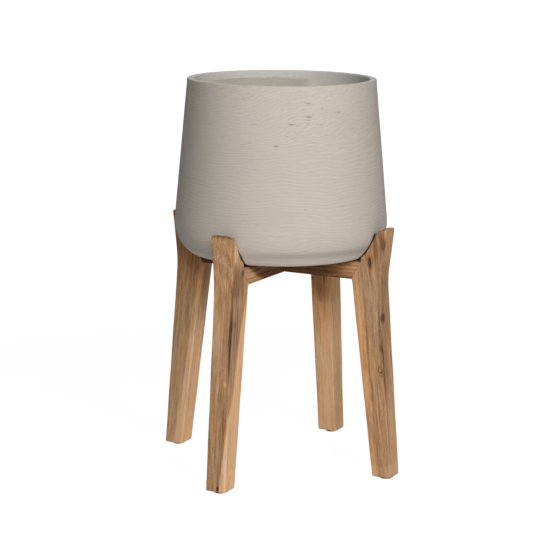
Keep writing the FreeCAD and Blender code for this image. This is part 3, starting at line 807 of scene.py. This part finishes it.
# %% Give each leg its board
BOARDS = {
    "front_left": dict(
        pith=(-70, -36), grey=((2, 19, 80), (19, 15, 120)),
        sapwood_and_painted_light=[((-1, 1.6, -0.17), 35, 0.42), ((0, 0, 1), 224, -0.35)],
        streaks=[((18, 18, 42), (5, 5.5, 98), 0.50), ((6, 19, 146), (26, 7, 40), 0.26),
                 ((17, 4, -100), (9, 10, 120), 0.14), ((10, 5, -212), (5, 4, 7), 0.5),
                 ((15, 11, -28), (4, 3, 6), -0.2), ((22, -20, 210), (6, 6, 34), -0.25),
                 ((22, -12.5, 205), (5, 2, 28), 0.25), ((16, 19, 200), (9, 5, 26), -0.30),
                 ((21, 14, 196), (5, 2, 24), 0.35), ((-14, 19, 130), (4, 4, 26), 0.22),
                 ((2, 19, 60), (15, 4, 70), 0.14)],
        knots=[((-11.5, 19, 163), (5, 5, 9), 0.34, 0.1),
               ((6.8, 19, 75), (2.5, 2.5, 5), 0.3, 0.1)]),
    "front_right": dict(
        pith=(-55, -60), grey=((8, -19, 95), (19, 24, 85)), red=((-24, -10, -40), (10, 30, 230)),
        # The plane past y 17 that darkens by 0.25 is painted shade on the outer face's far edge.
        sapwood_and_painted_light=[((-1, 0, -0.01), 17, 0.16), ((1, 0.4, -0.06), 17, 0.20),
                 ((0, 0, -1), 195, 0.08), ((0, 1, 0), 17, -0.25),
                 ((1, 0, 0.02), 14, -0.12)],
        streaks=[((13, -19, 20), (7, 9, 85), 0.14), ((6, -19, 180), (22, 7, 16), 0.08),
                 ((34, -19, 200), (6, 12, 26), 0.20), ((24, -19, 205), (24, 20, 34), 0.12),
                 ((3.4, -19, 140), (3.4, 5, 32), 0.16), ((13, -19, 18), (4, 4, 10), 0.20),
                 ((14, -19, -60), (2, 3, 65), 0.25), ((15.5, -18.5, -35), (2.6, 3, 95), 0.20),
                 ((-13, -19, -70), (3, 3, 12), 0.22)],
        knots=[((4.2, -19, 170), (5, 5, 17), 0.56, 0.06),
               ((19.5, -12, 71.5), (4.6, 7, 8), 1.0, 0.2),
               ((8.2, -19, -20), (4, 4, 5), 0.04, 0.26),
               ((9.4, -19, -29), (3, 3, 4), 0.10, 0.20)]),
    "back_right": dict(
        # On this board the red spot is painted warm bounce light under the pot, the plane facing
        # down pales the leg below its middle as painted light, the plane past y 17 is painted
        # shade on an edge, and the first streak is the pot's painted shadow on the upper inner
        # face.
        pith=(80, 30), tone=0.175, red=((-33, -2, 130), (40, 40, 150)),
        sapwood_and_painted_light=[((-1, 0.12, 0), 21, 0.16), ((0, -1, 0), 17, -0.06),
                 ((0, 0, -1), -50, 0.10), ((0, 1, 0), 17, -0.25)],
        streaks=[((-33, -2, 110), (22, 30, 72), 0.32), ((-33, -10, 108), (7, 4, 44), 0.20)]),
    "back_left": dict(
        # On this board fade is painted shade, darker toward the top under the pot; the red spot
        # is painted warm bounce light there, and the streak is the pot's painted shadow on the
        # upper inner face.
        pith=(-40, 55), tone=0.055, fade=0.85, red=((-10, 10, 190), (60, 40, 120)),
        sapwood_and_painted_light=[((-1, 0, -0.05), 20, 0.26), ((1, 0, -0.028), 16, -0.2)],
        streaks=[((-33, 2, 105), (9, 15, 62), 0.16)]),
}
# A board's middle, as its distance from the pot's axis and its height, and its lean in degrees.
LEG_MIDDLE, LEG_MIDDLE_HEIGHT, LEG_LEAN = 200, 220, -6.2
for number, (place, direction) in enumerate(LEGS.items()):
    turn = math.radians(direction)
    centre = (LEG_MIDDLE * math.cos(turn), LEG_MIDDLE * math.sin(turn), LEG_MIDDLE_HEIGHT)
    axes = centre, (0, LEG_LEAN, direction)
    legs[place].data.materials.append(acacia(number, axes, **BOARDS[place]))
    print(place, "has", len(BOARDS[place]["streaks"]), "streaks")

# %% [markdown]
# ## The bars
# Both bars are made darker all over, as painted shade for the pot above them. Their meshes stay
# as the CAD model has them, because the half lap has to fit. Their upper and lower sides are
# darker still, as painted shade, and both are paler at the end that comes to the front, as
# painted light where it reaches past the pot. A red tint under the pot is painted warm bounce
# light, and the upper bar's back end is darker, as painted shade.

# %% Give the bars their wood
# The bars' low tone paints shade on them all over.
BAR_MIDDLE, BAR_PITH, BAR_PAINTED_SHADE, FIRST_BAR = 373, (60, 25), -0.365, 5
# These two planes darken the bars' upper and lower sides, as painted shade.
painted_edge_shade = [((-1, 0, 0), 12.5, -0.15), ((1, 0, 0), 15, -0.15)]
BARS = {
    "lower_cross_bar": dict(
        # The lower bar's red spot is painted warm bounce light; its slanted plane pales its front
        # end as painted light, bounded by the pot's painted shadow.
        red=((0, 0, 60), (90, 90, 170)), sapwood_and_painted_light=[((0.88, 0, -0.47), 58, 0.38), *painted_edge_shade]),
    "upper_cross_bar": dict(
        # The upper bar's red spot is painted warm bounce light. Its first streak, of negative
        # depth, pales its front end as painted light, and its second darkens its back end as
        # painted shade.
        red=((0, 0, -60), (90, 90, 170)), sapwood_and_painted_light=painted_edge_shade,
        streaks=[((0, 0, 205), (400, 400, 110), -0.36), ((0, 0, -160), (400, 400, 90), 0.2)]),
}
for number, (name, marks) in enumerate(BARS.items()):
    axes = (0, 0, BAR_MIDDLE), (0, 90, 45 - 90 * number)
    wood = acacia(FIRST_BAR + number, axes, BAR_PITH, tone=BAR_PAINTED_SHADE, **marks)
    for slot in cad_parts[name].material_slots:
        slot.material = wood
    print(name, "is made of", wood.name)

# %% [markdown]
# ## Small parts
# Dowels, glides, nails, the screw and the rubber plug are shown as the CAD model has them. New
# surfaces would add nothing, because they are small and mostly hidden, so they only get a
# finish: each has a dark and a pale colour, blended by fine noise.

# %% Finish the small parts
HARDWOOD = (0.56, 0.40, 0.25), (0.78, 0.62, 0.42)
BROWN_PLASTIC = (0.030, 0.022, 0.018), (0.060, 0.045, 0.036)
BLACK_RUBBER = (0.018, 0.018, 0.018), (0.035, 0.034, 0.033)
ZINC = (0.56, 0.56, 0.55), (0.70, 0.70, 0.67)


def dowel_wood(shader):
    """Hardwood between its two colours, blended by fine noise."""
    streak = shader.noise(shader.local(), (2, 2, 2), 3) - 0.5
    colour = shader.mix(streak + 0.5, *HARDWOOD)
    return streak * 0.1, {"Base Color": colour, "Roughness": 0.6 + streak * 0.2}


def moulded(dark, pale):
    """Gives the maker of a moulded finish between two colours."""

    def make(shader):
        place = shader.local()
        grain = shader.noise(place, (0.8, 0.8, 0.8), 3) - 0.5
        cloud = shader.noise(place, (9, 9, 9), 2)
        return grain * 0.06, {"Base Color": shader.mix(cloud, dark, pale),
                              "Roughness": 0.55 + grain * 0.25}

    return make


def plated(shader):
    """Zinc plating between two greys, blended by fine noise."""
    grain = shader.noise(shader.local(), (1.2, 1.2, 1.2), 3) - 0.5
    colour = shader.mix(grain + 0.5, *ZINC)
    return grain * 0.03, {"Base Color": colour, "Roughness": 0.36 + grain * 0.2}


SMALL = {
    "dowels": finish("dowel_hardwood", dowel_wood),
    "glide": finish("glide_brown", moulded(*BROWN_PLASTIC)),
    "drain_plug": finish("plug_black_rubber", moulded(*BLACK_RUBBER)),
    "glide_nail": finish("plated_steel_small", plated, {"Metallic": 1.0}),
    "centre_screw": finish("plated_steel_screw", plated, {"Metallic": 1.0}),
}
for name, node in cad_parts.items():
    for ending, material in SMALL.items():
        if name.endswith(ending):
            for slot in node.material_slots:
                slot.material = material
print(len(SMALL), "finishes for small parts")
